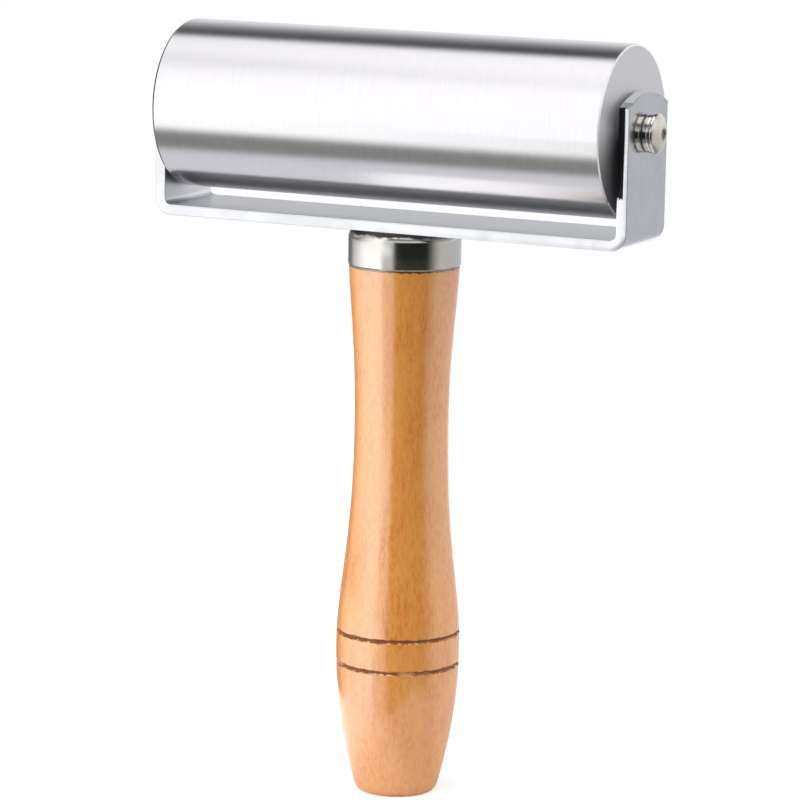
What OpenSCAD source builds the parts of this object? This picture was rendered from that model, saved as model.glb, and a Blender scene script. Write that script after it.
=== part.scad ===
// Hand brayer: a steel roller on two ball bearings, carried by a bent strap yoke
// on a turned wooden handle with a drawn ferrule.
// The handle stands along +Z with its butt on the origin. The roller turns about X.

/* [Roller] */
// Outside diameter of the roller
roller_d = 35; // [28:0.5:45]
// Length of the roller between its end faces
roller_l = 100; // [60:1:160]
// Chamfer round each rim of the roller
roller_chamfer = 0.4; // [0.2:0.1:1.5]

/* [Yoke] */
// Width of the flat strap that the yoke is bent from
strap_w = 20; // [16:0.5:30]
// Thickness of the strap
strap_t = 2.2; // [1.5:0.1:3]
// Inside radius of the two bends
bend_r = 1.2; // [0.6:0.1:3]
// Gap between each end of the roller and the arm beside it
end_gap = 1.1; // [0.6:0.1:3]
// Gap between the roller and the strap under it
roller_gap = 3.1; // [1.5:0.1:8]
// Height of an arm above the axle's centre
arm_top_h = 8.2; // [6:0.2:14]
// Radius of the crown across the top of an arm
arm_crown_r = 20; // [18:1:60]

/* [Axle] */
// Diameter of the axle rod
axle_d = 6; // [5.4:0.1:7]
// Diameter of the screws in the ends of the axle
screw_d = 4; // [3:0.1:4.4]
// Depth that each screw reaches into the axle
screw_depth = 12; // [6:1:20]
// Diameter of the domed screw heads
head_d = 8.2; // [7:0.1:11]
// Height of the straight side of a screw head
head_side_h = 0.6; // [0.3:0.1:1.5]
// Height of the dome on a screw head
head_dome_h = 1.3; // [0.6:0.1:3]
// Diameter of the round recess in a screw head
recess_d = 2; // [1:0.1:3]
// Depth of the round recess in a screw head
recess_depth = 0.6; // [0.3:0.1:1]
// Diameter of the thick washers under the heads
washer_d = 7.8; // [6.5:0.1:12]
// Thickness of the washers under the heads
washer_t = 1.6; // [0.8:0.1:3]

/* [Bearings] */
// Outside diameter of the ball bearings
bearing_od = 15; // [13.6:0.2:18]
// Width of the ball bearings
bearing_w = 5; // [4.4:0.1:7]
// Depth of the bearings below the roller's end faces
bearing_recess = 0.2; // [0:0.1:0.6]
// Diameter of the balls
ball_d = 2.38; // [2:0.02:2.6]
// Number of balls in a bearing
ball_count = 7; // [5:1:8]
// Depth of the groove that the balls run in
groove_depth = 0.45; // [0.3:0.05:0.6]
// Thickness of the bearing shields
shield_t = 0.25; // [0.15:0.05:0.4]

/* [Ferrule] */
// Outside diameter of the ferrule
ferrule_d = 23.3; // [18:0.1:30]
// Height of the ferrule
ferrule_h = 7.6; // [5:0.1:20]
// Thickness of the ferrule's sheet
ferrule_t = 0.8; // [0.5:0.1:1]
// Outside radius of the ferrule's top corner
ferrule_corner_r = 2; // [1.2:0.1:3]

/* [Handle] */
// Height of the handle and ferrule, from the butt to the yoke
handle_h = 119; // [105:1:160]
// Step from the ferrule's outside in to the wood below it
neck_step = 0.2; // [0.1:0.1:0.6]
// Diameter of the waist
waist_d = 19.6; // [14:0.1:24]
// Height of the waist above the butt
waist_h = 78; // [60:1:90]
// Diameter of the belly
belly_d = 25.9; // [20:0.1:34]
// Height of the belly above the butt
belly_h = 31; // [20:1:45]
// Diameter above the rounded edge of the butt
butt_d = 17.7; // [16:0.1:24]
// Height of the rounded edge of the butt
butt_edge_h = 1.6; // [0.5:0.1:4]
// Diameter of the flat that the butt stands on
butt_flat_d = 14.8; // [10:0.1:15.6]
// Height of the upper turned groove
groove_upper_h = 34.4; // [32:0.1:50]
// Height of the lower turned groove
groove_lower_h = 27.7; // [15:0.1:30]
// Width of a turned groove at the surface
turned_groove_w = 0.9; // [0.5:0.1:2]
// Depth of a turned groove
turned_groove_depth = 0.45; // [0.2:0.05:1]

/* [Tang] */
// Diameter of the tang's shank
tang_d = 6; // [4:0.1:8]
// Diameter over the barbed rings on the shank
tang_ring_d = 6.8; // [6.4:0.1:9]
// Number of barbed rings
tang_ring_count = 7; // [3:1:10]
// Length of the tang below its flange
tang_len = 45; // [30:1:60]
// Height of the tapered point
tang_tip_h = 5; // [2:0.5:8]
// Diameter of the spigot brazed into the underside of the yoke
spigot_d = 5; // [3:0.1:6]
// Height of the spigot, which stops short of the strap's upper face
spigot_h = 1.2; // [0.6:0.1:1.3]
// Diameter of the flange that seats under the yoke
flange_d = 9; // [7.4:0.1:14]

/* [Hidden] */
$fn = 96;

// Radial clearance of pieces that are pressed or slid together
fit_clear = 0.02;
// Radial clearance of the screws in the arms and washers
hole_clear = 0.15;
// Radial clearance of the screws in their tapped holes
thread_clear = 0.03;
// Depth of the tapped holes past the screws' ends
tap_runout = 2;
// Clearance between a ball and its groove
ball_clear = 0.03;
// Clearance between a ball and its pocket in the cage
pocket_clear = 0.08;
// Cage wall beside a ball
cage_wall = 0.35;
// Clearance between the cage and the lands of both races
cage_clear = 0.2;
// Width of the lip that a shield seats on
shield_lip = 0.35;
// Clearance between a shield and the inner race
shield_clear = 0.12;
// Depth of a shield below the bearing's face
shield_inset = 0.1;
// Clearance between the shoulder in the roller and the inner race
shoulder_clear = 0.5;
// Step from the inner race's land in to the spacer's rim
spacer_inset = 0.3;
// End play of the roller at each spacer
end_play = 0.05;
// Gap between the spigot's end and the bottom of its hole
spigot_gap = 0.05;
// Gap between the top of the wooden tenon and the ferrule
tenon_gap = 0.2;
// Depth of the tang's bore past its point
bore_runout = 1;
// Clearance round the flange in the ferrule's hole
flange_clear = 0.1;
// Overlap of a cutting solid past the face that it cuts
cut = 1;

left = -1;
right = 1;

strap_z = handle_h;
axis_z = strap_z + strap_t + roller_gap + roller_d / 2;
arm_top_z = axis_z + arm_top_h;
arm_in_x = roller_l / 2 + end_gap;
arm_out_x = arm_in_x + strap_t;
bearing_x = roller_l / 2 - bearing_recess - bearing_w / 2;
pitch_r = (axle_d + bearing_od) / 4;
race_groove_r = ball_d / 2 + ball_clear;
inner_land_r = pitch_r - ball_d / 2 + groove_depth;
outer_land_r = pitch_r + ball_d / 2 - groove_depth;
shield_r = outer_land_r + shield_lip;
roller_bore_r = inner_land_r + shoulder_clear;
spacer_t = end_gap + bearing_recess - end_play;
ferrule_in_r = ferrule_d / 2 - ferrule_t;
ferrule_low_z = strap_z - ferrule_h;
neck_r = ferrule_d / 2 - neck_step;
tenon_r = ferrule_in_r - fit_clear;
tenon_top_z = strap_z - ferrule_t - tenon_gap;
tenon_chamfer = ferrule_corner_r - ferrule_t;
flange_low_z = strap_z - ferrule_t;
tang_bore_r = tang_ring_d / 2 + fit_clear;

// A point on the cubic curve through a and d, drawn towards b and c
function curve_point(a, b, c, d, t) =
    pow(1 - t, 3) * a + 3 * pow(1 - t, 2) * t * b + 3 * (1 - t) * t * t * c + pow(t, 3) * d;

// Points along that curve, without its last one
function curve(a, b, c, d, steps) =
    [for (i = [0 : steps - 1]) curve_point(a, b, c, d, i / steps)];

// A curve with one pull point, as a cubic
function bow(a, pull, d, steps) =
    curve(a, a + (pull - a) * 2 / 3, d + (pull - d) * 2 / 3, d, steps);

// Shares of the handle's stretches over which the waist, belly and neck hold their line
waist_hold = 0.55;
belly_hold = 0.28;
neck_hold = 0.24;
waist_neck_hold = 0.5;
// Slope of the wood where it leaves the ferrule
neck_slope = 0.04;

// The handle's outline from butt to neck, as [radius, height]
butt_flat = [butt_flat_d / 2, 0];
butt_edge = [butt_d / 2, butt_edge_h];
belly = [belly_d / 2, belly_h];
waist = [waist_d / 2, waist_h];
neck = [neck_r, ferrule_low_z];
butt_slope = 2 * (belly[0] - butt_edge[0]) / (belly_h - butt_edge_h);
butt_corner = [butt_edge[0] - butt_slope * butt_edge_h, 0];
swell_h = waist_h - belly_h;
neck_h = ferrule_low_z - waist_h;
outline = concat(
    bow(butt_flat, butt_corner, butt_edge, 6),
    bow(butt_edge, [belly[0], (belly_h + butt_edge_h) / 2], belly, 12),
    curve(belly, belly + [0, swell_h * belly_hold], waist - [0, swell_h * waist_hold], waist, 18),
    curve(waist, waist + [0, neck_h * waist_neck_hold],
        neck + neck_h * neck_hold * [-neck_slope, -1], neck, 12),
    [neck]
);
outline_radius = [for (p = outline) [p[1], p[0]]];

// Places a shape that stands along +Z onto the roller's axis, pointing away from the middle
module on_axle(side, x) {
    mirror([side == left ? 1 : 0, 0, 0])
        translate([x, 0, axis_z])
            rotate([0, 90, 0])
                children();
}

// Outline of the bent strap across its width, from its outside down to the given offset inside it
module strap_outline(inset, radius) {
    half = arm_out_x - inset;
    low = strap_z + inset;
    translate([-half, low + radius])
        square([2 * half, arm_top_z + cut * inset - low - radius]);
    translate([-half + radius, low])
        square([2 * (half - radius), radius + cut]);
    for (x = [-half + radius, half - radius])
        translate([x, low + radius])
            circle(r = radius);
}

// The chromed strap, bent to a U, with crowned arm tops
module yoke() {
    crown_low_z = arm_top_z - arm_crown_r + sqrt(pow(arm_crown_r, 2) - pow(strap_w / 2, 2));
    color("gainsboro")
        difference() {
            rotate([90, 0, 0])
                linear_extrude(height = strap_w, center = true)
                    difference() {
                        strap_outline(0, bend_r + strap_t);
                        strap_outline(strap_t, bend_r);
                    }
            difference() {
                translate([-arm_out_x - cut, -strap_w / 2 - cut, crown_low_z])
                    cube([2 * (arm_out_x + cut), strap_w + 2 * cut, arm_top_z - crown_low_z + cut]);
                translate([0, 0, arm_top_z - arm_crown_r])
                    rotate([0, 90, 0])
                        cylinder(r = arm_crown_r, h = 4 * arm_out_x, center = true);
            }
            for (side = [left, right])
                on_axle(side, arm_in_x - cut)
                    cylinder(r = screw_d / 2 + hole_clear, h = strap_t + 2 * cut);
            translate([0, 0, strap_z - cut])
                cylinder(r = spigot_d / 2 + fit_clear, h = cut + spigot_h + spigot_gap);
        }
}

// A shallow ring cut round the handle
module turned_groove(height) {
    surface_r = lookup(height, outline_radius);
    floor_r = surface_r - turned_groove_depth;
    floor_half = turned_groove_w / 4;
    flare = (turned_groove_w / 2 - floor_half) / turned_groove_depth;
    rim_half = floor_half + flare * (turned_groove_depth + cut);
    rotate_extrude()
        polygon([
            [floor_r, height - floor_half], [surface_r + cut, height - rim_half],
            [surface_r + cut, height + rim_half], [floor_r, height + floor_half]
        ]);
}

// The turned wooden handle, with a tenon for the ferrule and a bore for the tang
module handle() {
    color("peru")
        difference() {
            rotate_extrude()
                polygon(concat(
                    [[0, 0]], outline,
                    [
                        [tenon_r, ferrule_low_z], [tenon_r, tenon_top_z - tenon_chamfer],
                        [tenon_r - tenon_chamfer, tenon_top_z], [0, tenon_top_z]
                    ]
                ));
            turned_groove(groove_upper_h);
            turned_groove(groove_lower_h);
            translate([0, 0, flange_low_z - tang_len - bore_runout])
                cylinder(r = tang_bore_r, h = tang_len + bore_runout + cut);
        }
}

// A cup section of the given radius and height, standing on the line y = 0, with a round top corner
module cup_section(radius, height, corner) {
    square([radius, height - corner]);
    square([radius - corner, height]);
    translate([radius - corner, height - corner])
        circle(r = corner);
}

// The drawn ferrule on the top of the handle
module ferrule() {
    color("silver")
        translate([0, 0, ferrule_low_z])
            difference() {
                rotate_extrude()
                    intersection() {
                        square([ferrule_d, ferrule_h]);
                        cup_section(ferrule_d / 2, ferrule_h, ferrule_corner_r);
                    }
                rotate_extrude()
                    intersection() {
                        translate([0, -cut])
                            square([ferrule_d, ferrule_h - ferrule_t + cut]);
                        translate([0, -cut])
                            cup_section(ferrule_in_r, ferrule_h - ferrule_t + cut, tenon_chamfer);
                    }
                cylinder(r = flange_d / 2 + flange_clear, h = ferrule_h + cut);
            }
}

// The steel tang: a spigot brazed into the yoke from below, a flange, and a barbed shank in the wood
module handle_tang() {
    ring_step = (tang_len - tang_tip_h) / (tang_ring_count + 1);
    ring_h = ring_step / 2;
    tip_r = tang_d / 4;
    color("darkgray")
        union() {
            translate([0, 0, flange_low_z])
                cylinder(d = flange_d, h = ferrule_t);
            translate([0, 0, strap_z])
                cylinder(d = spigot_d, h = spigot_h);
            translate([0, 0, flange_low_z - tang_len + tang_tip_h])
                cylinder(d = tang_d, h = tang_len - tang_tip_h);
            translate([0, 0, flange_low_z - tang_len])
                cylinder(r1 = tip_r, r2 = tang_d / 2, h = tang_tip_h);
            for (i = [1 : tang_ring_count])
                translate([0, 0, flange_low_z - i * ring_step - ring_h / 2])
                    cylinder(d1 = tang_d, d2 = tang_ring_d, h = ring_h);
        }
}

// The fixed axle, tapped at both ends and clamped between the arms
module axle_rod() {
    color("lightgray")
        difference() {
            translate([0, 0, axis_z])
                rotate([0, 90, 0])
                    cylinder(d = axle_d, h = 2 * arm_in_x, center = true);
            for (side = [left, right])
                on_axle(side, arm_in_x - screw_depth - tap_runout)
                    cylinder(r = screw_d / 2 + thread_clear, h = screw_depth + tap_runout + cut);
        }
}

// A domed screw that clamps an arm to the axle's end
module axle_screw(side) {
    dome_r = (pow(head_d / 2, 2) + pow(head_dome_h, 2)) / (2 * head_dome_h);
    grip = washer_t + strap_t + screw_depth;
    head_h = head_side_h + head_dome_h;
    color("whitesmoke")
        on_axle(side, arm_out_x + washer_t)
            difference() {
                union() {
                    rotate_extrude()
                        intersection() {
                            square([head_d / 2, head_h]);
                            translate([0, head_h - dome_r])
                                circle(r = dome_r);
                        }
                    translate([0, 0, -grip])
                        cylinder(d = screw_d, h = grip + head_side_h / 2);
                }
                translate([0, 0, head_h - recess_depth])
                    cylinder(d = recess_d, h = recess_depth + cut);
            }
}

// A thick washer between an arm and its screw's head
module axle_washer(side) {
    color("gainsboro")
        on_axle(side, arm_out_x)
            difference() {
                cylinder(d = washer_d, h = washer_t);
                translate([0, 0, -cut])
                    cylinder(r = screw_d / 2 + hole_clear, h = washer_t + 2 * cut);
            }
}

// A spacer on the axle that keeps the inner race off the arm
module axle_spacer(side) {
    color("lightgray")
        on_axle(side, arm_in_x - spacer_t)
            difference() {
                cylinder(r = inner_land_r - spacer_inset, h = spacer_t);
                translate([0, 0, -cut])
                    cylinder(r = axle_d / 2 + fit_clear, h = spacer_t + 2 * cut);
            }
}

// The solid steel roller, bored through and counterbored for the bearings
module roller_shell() {
    seat_depth = bearing_recess + bearing_w;
    color("lightsteelblue")
        difference() {
            translate([-roller_l / 2, 0, axis_z])
                rotate([0, 90, 0])
                    rotate_extrude()
                        polygon([
                            [0, 0], [roller_d / 2 - roller_chamfer, 0], [roller_d / 2, roller_chamfer],
                            [roller_d / 2, roller_l - roller_chamfer],
                            [roller_d / 2 - roller_chamfer, roller_l], [0, roller_l]
                        ]);
            translate([0, 0, axis_z])
                rotate([0, 90, 0])
                    cylinder(r = roller_bore_r, h = roller_l + 2 * cut, center = true);
            for (side = [left, right])
                on_axle(side, roller_l / 2 - seat_depth)
                    cylinder(r = bearing_od / 2 + fit_clear, h = seat_depth + cut);
        }
}

// Round section of the groove that the balls run in
module race_groove() {
    translate([pitch_r, 0])
        circle(r = race_groove_r);
}

// The bearing's outer race, pressed into the roller
module bearing_outer_race(side) {
    seat_w = shield_t + shield_inset;
    color("silver")
        on_axle(side, bearing_x)
            rotate_extrude()
                difference() {
                    translate([outer_land_r, -bearing_w / 2])
                        square([bearing_od / 2 - outer_land_r, bearing_w]);
                    race_groove();
                    for (y = [-bearing_w / 2 - cut, bearing_w / 2 - seat_w])
                        translate([outer_land_r - cut, y])
                            square([shield_lip + cut, seat_w + cut]);
                }
}

// The bearing's inner race, still on the axle
module bearing_inner_race(side) {
    bore_r = axle_d / 2 + fit_clear;
    color("silver")
        on_axle(side, bearing_x)
            rotate_extrude()
                difference() {
                    translate([bore_r, -bearing_w / 2])
                        square([inner_land_r - bore_r, bearing_w]);
                    race_groove();
                }
}

// The balls of one bearing, evenly spaced
module bearing_balls(side) {
    color("white")
        on_axle(side, bearing_x)
            for (i = [0 : ball_count - 1])
                rotate([0, 0, i * 360 / ball_count])
                    translate([pitch_r, 0, 0])
                        sphere(d = ball_d);
}

// The cage that spaces the balls
module bearing_cage(side) {
    cage_in_r = inner_land_r + cage_clear;
    cage_out_r = outer_land_r - cage_clear;
    cage_w = ball_d + 2 * (pocket_clear + cage_wall);
    color("goldenrod")
        on_axle(side, bearing_x)
            difference() {
                translate([0, 0, -cage_w / 2])
                    cylinder(r = cage_out_r, h = cage_w);
                translate([0, 0, -cage_w / 2 - cut])
                    cylinder(r = cage_in_r, h = cage_w + 2 * cut);
                for (i = [0 : ball_count - 1])
                    rotate([0, 0, i * 360 / ball_count])
                        translate([cage_in_r - cut / 2, 0, 0])
                            rotate([0, 90, 0])
                                cylinder(r = ball_d / 2 + pocket_clear, h = cage_out_r - cage_in_r + cut);
            }
}

// A thin shield seated in the outer race, on the outer or the inner face of the bearing
module bearing_shield(side, face) {
    out_r = shield_r - fit_clear;
    in_r = inner_land_r + shield_clear;
    low = face * (bearing_w / 2 - shield_inset - shield_t / 2);
    color("darkgray")
        on_axle(side, bearing_x + low)
            difference() {
                cylinder(r = out_r, h = shield_t, center = true);
                cylinder(r = in_r, h = shield_t + 2 * cut, center = true);
            }
}

yoke();
handle();
ferrule();
handle_tang();
axle_rod();
axle_screw(left);  // axle_screw_left
axle_screw(right);  // axle_screw_right
axle_washer(left);  // axle_washer_left
axle_washer(right);  // axle_washer_right
axle_spacer(left);  // axle_spacer_left
axle_spacer(right);  // axle_spacer_right
roller_shell();
bearing_outer_race(left);  // bearing_outer_race_left
bearing_outer_race(right);  // bearing_outer_race_right
bearing_inner_race(left);  // bearing_inner_race_left
bearing_inner_race(right);  // bearing_inner_race_right
bearing_balls(left);  // bearing_balls_left
bearing_balls(right);  // bearing_balls_right
bearing_cage(left);  // bearing_cage_left
bearing_cage(right);  // bearing_cage_right
bearing_shield(left, 1);  // bearing_outer_shield_left
bearing_shield(right, 1);  // bearing_outer_shield_right
bearing_shield(left, -1);  // bearing_inner_shield_left
bearing_shield(right, -1);  // bearing_inner_shield_right
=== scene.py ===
"""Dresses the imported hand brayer: steel roller, chromed strap yoke, plated ferrule, varnished handle."""

import math

import bmesh
import bpy
from mathutils import Matrix, Vector


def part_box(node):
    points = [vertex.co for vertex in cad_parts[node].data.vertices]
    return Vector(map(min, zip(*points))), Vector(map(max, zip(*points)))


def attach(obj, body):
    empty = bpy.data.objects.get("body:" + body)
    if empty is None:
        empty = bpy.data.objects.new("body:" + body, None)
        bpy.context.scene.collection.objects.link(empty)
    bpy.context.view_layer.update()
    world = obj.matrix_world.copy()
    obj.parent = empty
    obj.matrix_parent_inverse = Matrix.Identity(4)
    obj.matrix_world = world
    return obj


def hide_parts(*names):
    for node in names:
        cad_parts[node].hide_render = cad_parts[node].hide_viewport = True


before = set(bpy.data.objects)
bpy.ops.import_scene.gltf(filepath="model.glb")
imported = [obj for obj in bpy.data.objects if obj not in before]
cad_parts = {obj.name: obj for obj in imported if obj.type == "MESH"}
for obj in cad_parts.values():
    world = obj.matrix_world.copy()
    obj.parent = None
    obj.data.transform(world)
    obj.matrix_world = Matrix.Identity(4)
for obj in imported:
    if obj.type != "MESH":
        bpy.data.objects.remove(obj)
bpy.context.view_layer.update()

MM = 0.001
DEGREE = math.pi / 180
QUARTER = math.pi / 2
X, Y, Z = 0, 1, 2
ORIGIN = (0, 0, 0)

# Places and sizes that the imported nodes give
roller_low, roller_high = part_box("roller_shell")
yoke_low, yoke_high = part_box("yoke")
axle_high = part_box("axle_rod")[1]
race_low, race_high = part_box("bearing_outer_race_right")
washer_low, washer_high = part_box("axle_washer_right")
screw_low, screw_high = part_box("axle_screw_right")
ferrule_low, ferrule_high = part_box("ferrule")
handle_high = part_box("handle")[1]
tang_low, tang_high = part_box("handle_tang")

AXLE_Z = (roller_low[Z] + roller_high[Z]) / 2
AXLE_POINT = Vector((0, 0, AXLE_Z))
ROLLER_R = roller_high[Y]
ROLLER_HALF = roller_high[X]
SEAT_R = race_high[Y]
SEAT_DEPTH = roller_high[X] - race_low[X]
STRAP_Z = yoke_low[Z]
STRAP_W = yoke_high[Y] - yoke_low[Y]
STRAP_HALF = yoke_high[X]
STRAP_T = yoke_high[X] - axle_high[X]
ARM_TOP_Z = yoke_high[Z]
WASHER_R = washer_high[Y]
WASHER_T = washer_high[X] - washer_low[X]
HEAD_R = screw_high[Y]
HEAD_X = washer_high[X]
SCREW_END_X = screw_low[X]
FERRULE_R = ferrule_high[Y]
FERRULE_LOW_Z = ferrule_low[Z]
FERRULE_TOP_Z = ferrule_high[Z]
BELLY_R = handle_high[Y]
TENON_TOP_Z = handle_high[Z]
TANG_LOW_Z = tang_low[Z]
FLANGE_R = tang_high[Y]

# Sizes that the nodes' boxes don't show; the handle's points are radius and height
ROLLER_BORE_R = 5.01 * MM
ROLLER_CHAMFER = 0.24 * MM
RIM_SLANT = 0.2 * MM
BEND_R = 1.2 * MM
ARM_CROWN_R = 20 * MM
STRAP_EDGE = 0.09 * MM
OUTER_SHARE = 0.38  # of the strap's thickness, counted from its outer face
OUTER_TAPER = 0.11 * MM
INNER_TAPER = 0.11 * MM
SCREW_R = 2 * MM
SCREW_HOLE_R = 2.15 * MM
SPIGOT_R = 2.52 * MM
SPIGOT_DEPTH = 1.25 * MM
HEAD_SIDE_H = 0.6 * MM
HEAD_DOME_H = 1.3 * MM
WASHER_EDGE = 0.5 * MM
HEAD_EDGE = 0.28 * MM
RECESS_R = 1 * MM
RECESS_DEPTH = 0.6 * MM
FACE_R = 3.5 * MM
FERRULE_T = 0.8 * MM
FERRULE_CORNER_R = 2 * MM
FERRULE_LIP_R = 0.35 * MM
FLANGE_HOLE_R = FLANGE_R + 0.1 * MM
NECK_R = FERRULE_R - 0.2 * MM
TENON_R = FERRULE_R - FERRULE_T - 0.02 * MM
TENON_CHAMFER = FERRULE_CORNER_R - FERRULE_T
TANG_BORE_R = 3.42 * MM
TANG_BORE_Z = TANG_LOW_Z - 1 * MM
WAIST = Vector((9.8, 78)) * MM
BELLY = Vector((BELLY_R, 31 * MM))
BUTT_EDGE = Vector((8.85, 1.6)) * MM
BUTT_FLAT = Vector((7.4, 0)) * MM
BELLY_PULL = 0.28
WAIST_PULL_DOWN = 0.55
WAIST_PULL_UP = 0.5
NECK_PULL = 0.24
NECK_FLARE = 0.04
GROOVES_Z = (34.4 * MM, 27.7 * MM)
GROOVE_W = 1.0 * MM
GROOVE_DEPTH = 0.45 * MM
GROOVE_ROUND = 0.8

# How finely pieces are modelled, what counts as one place and which edges stay sharp
ROUND_STEPS = 192
DRILL_STEPS = 48
BEND_STEPS = 10
CROWN_CUTS = 16
DOME_STEPS = 14
GROOVE_STEPS = 8
NEAR = 0.01 * MM
MERGE = 0.001 * MM
SMOOTH = 40 * DEGREE
ROLLER_SMOOTH = 28 * DEGREE
STRAP_SMOOTH = 30 * DEGREE
STRAP_SHARP = 40 * DEGREE
SHARP = 35 * DEGREE

# Noise scales, in waves per metre along x, y and z or in every direction
GROUND_LINES = (4200, 160, 160)
GROUND_CHATTER = (900, 420, 420)
TURNED_RINGS = 3600
STEEL_SMEARS = (26, 90, 90)
POLISH_LINES = (700, 2600, 700)
PLATE_CLOUDS = 110
PLATE_GRIT = 2600
SHADE_BLOTCHES = (420, 420, 900)
TOOL_LINES = (4200, 300, 300)
OIL_FILM = 240
WOOD_WAVES = (300, 300, 110)
WOOD_FIBRES = (2000, 2000, 560)
WOOD_STRANDS = (620, 620, 40)
WOOD_FIGURE = (190, 190, 90)
WOOD_PORES = (2800, 2800, 600)
WOOD_SKIN = 1300
LIP_RAGS = 1100
GROOVE_CHAR = (110, 110, 420)
GROOVE_TEARS = 700
PAPER_FIBRES = 900

# Colours and wear of the metal, and its painted shade, painted reflections and painted light
GROUND_DARK = (0.60, 0.595, 0.61)
GROUND_LIGHT = (0.70, 0.69, 0.70)
TURNED_DARK = (0.71, 0.71, 0.73)
TURNED_LIGHT = (0.79, 0.79, 0.81)
# Painted shade on the lower front of the roller's end faces, beside the arms
END_SHADE = (0.17, 0.17, 0.18)
END_SHADE_SHARE = 0.92
END_SHADE_AT = 46 * DEGREE
# Painted reflections on the rim chamfers: a dark line on the left rim, a bright highlight on the right rim
LEFT_RIM_SHADE = (0.14, 0.14, 0.15)
RIGHT_RIM_HIGHLIGHT = (0.96, 0.96, 0.97)
YOKE_PLATE = (0.63, 0.64, 0.66)
FERRULE_PLATE = (0.70, 0.68, 0.65)
FASTENER_PLATE = (0.76, 0.72, 0.67)
# Painted light on the arms' inner faces and crown edges
PAINTED_LIGHT_PLATE = (0.96, 0.97, 0.99)
AXLE_STEEL = (0.62, 0.62, 0.63)
BEARING_STEEL = (0.68, 0.68, 0.69)
CAGE_BRASS = (0.80, 0.58, 0.25)
# Painted dark reflection along the right arm's edges
EDGE_DARK_REFLECTION = (0.012, 0.012, 0.016)
EDGE_REFLECTION_SHARE = 0.97
EDGE_REFLECTION_START = 10.4 * MM
EDGE_REFLECTION_RAGGED = 2.4 * MM
EDGE_REFLECTION_DEPTH = 0.45 * MM
CROWN_EDGE_H = 1.5 * MM
TARNISH = (0.36, 0.30, 0.21)
TARNISH_SHARE = 0.85
# Painted shade on the ferrule under the strap and along its lip
FERRULE_SHADE = (0.03, 0.028, 0.026)

# Colours and build of the wood, and its painted shade
WOOD_TONES = [
    (0.05, (0.78, 0.256, 0.042)),
    (0.35, (0.92, 0.346, 0.068)),
    (0.65, (0.97, 0.406, 0.085)),
    (1.00, (0.99, 0.458, 0.104)),
]
PORE = (0.50, 0.165, 0.026)
PORE_SHARE = 0.12
# Painted shade on the wood just under the ferrule's lip
LIP_SHADE = (0.05, 0.025, 0.012)
BURNT = (0.28, 0.092, 0.025)
BURNT_THIN = (0.66, 0.34, 0.14)
VARNISH_IOR = 2.62
SWAY = 0.9 * MM

# The studio's edges, in degrees: round from the brayer's front towards its right, and up from level
BELOW_FERRULE = (-10, -8.5)
ABOVE_FERRULE = (-7, -4)
BOX_START = (-118, -100)
BOX_END_LOW = -22
BOX_END_HIGH = -18
BOX_BLUR = 4
BOX_MORE_BLUR = 2
BOX_FADE = (-118, -48)
BOX_FADE_SHIFT = 20
BOX_HEIGHTS = (-24, 6)
DARK_START = (0, 8)
DARK_TOP = (6, 18)
WALL_START = (70, 108)
WALL_END = (116, 140)
WALL_HEIGHTS = (-2, 14)
CORNER = (-138, -95, 5)
CORNER_TOP = (36, 50)
BACK_HEIGHTS = (12, 54)
LEVEL = (-4, 4)
TOP_START = (48, 60)
TOP_END = (103, 120)
TOP_HEIGHTS = (55, 78)
FLOOR_END = (-35, -22)
FLOOR_HEIGHTS = (-56, -46)

# The studio's light
BOX_LIGHT = ((1.58, 1.58, 1.58), (1.58, 1.57, 1.57))
BOX_SIDE = ((0.52, 0.52, 0.53), (0.2, 0.2, 0.21))
TOP_LIGHT = ((1.40, 1.39, 1.41), (1.55, 1.54, 1.55))
WALL_LIGHT = ((0.67, 0.65, 0.63), (0.98, 0.96, 0.94))
BACK_LIGHT = ((0.92, 0.93, 0.96), (0.05, 0.05, 0.055))
FLOOR_LIGHT = ((0.90, 0.90, 0.95), (0.305, 0.31, 0.295))
LOW_LIGHT = (0.66, 0.67, 0.70)
CORNER_LIGHT = (0.20, 0.205, 0.22)
DARK_LIGHT = (0.02, 0.02, 0.02)
WHITE = (1.0, 1.0, 1.0)
LAMPS = (
    ("soft_fill", Vector((-0.12, -1.4, 0.9)), 6.2),
    ("soft_side", Vector((-1.38, -0.24, 0.45)), 5.9),
    ("soft_rim", Vector((1.0, 1.2, 0.45)), 5.6),
)
LAMP_SIZE = 1.2
LAMP_AIM = Vector((0, 0, 0.06))

# The paper floor, and what mirrors show of it, in metres
FLOOR_SIZE = 0.6
FLOOR_MIDDLE = (0, 0.2, 0)
PAPER = ((0.74, 0.74, 0.76), (0.77, 0.77, 0.79))
PAPER_SHADED = (0.46, 0.46, 0.47)
PAPER_GLOW = (0.97, 0.97, 1, 1)
SEEN_GLOW = 0.5
MIRROR_GLOW = 0.75
GLOW_END_X = (-0.035, 0.005)
SHADED_X = (0, 0.02)
SHADED_END_Y = (-0.005, 0.015)
MIRROR_START_Y = (-0.048, -0.043)
MIRROR_X = (-0.065, 0.065, 0.005)

# The camera, fitted to the photograph's edges
CAMERA_EYE = Vector((0.342910, -0.700651, 0.224229))
CAMERA_AIM = Vector((-0.000477, 0, 0.082863))
CAMERA_LEAN = 0.995 * DEGREE
CAMERA_LENS = 172.25
CAMERA_SENSOR = 36
CAMERA_NEAR = 0.01
CAMERA_FAR = 60


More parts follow.
